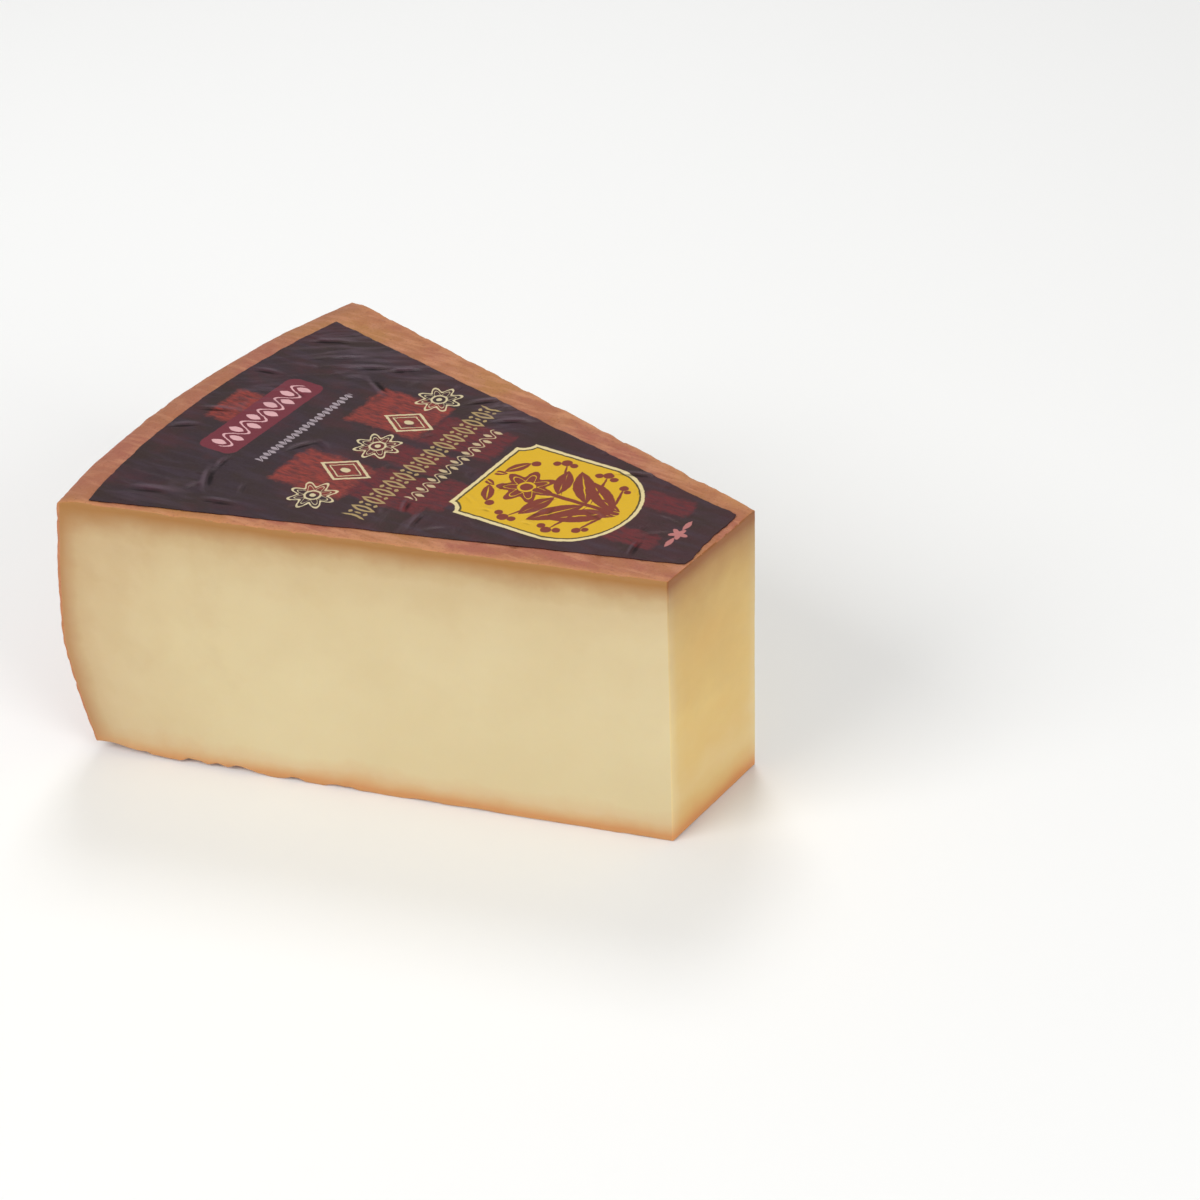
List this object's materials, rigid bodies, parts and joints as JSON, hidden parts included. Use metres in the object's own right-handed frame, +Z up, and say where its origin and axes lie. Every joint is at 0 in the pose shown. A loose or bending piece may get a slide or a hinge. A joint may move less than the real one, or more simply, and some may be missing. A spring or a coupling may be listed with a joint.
{
  "type": "cheese wedge",
  "caption": "Large wedge of hard pressed cheese with a brown rind, cut from a round wheel with its tip sliced off, and a dark printed paper label glued on top.",
  "frame": {"origin": "middle of the base's bounding rectangle, on the plane the wedge stands on", "axes": "+X from the heel (the wheel's rim) to the sliced end, +Y to the back cut face, +Z up"},
  "size_m": [0.2156, 0.1624, 0.1007],
  "materials": {
    "cheese": "satin",
    "label_paper": "satin"
  },
  "bodies": {
    "root": {"cheese_wedge": "cheese", "label": "label_paper"}
  },
  "joints": []
}
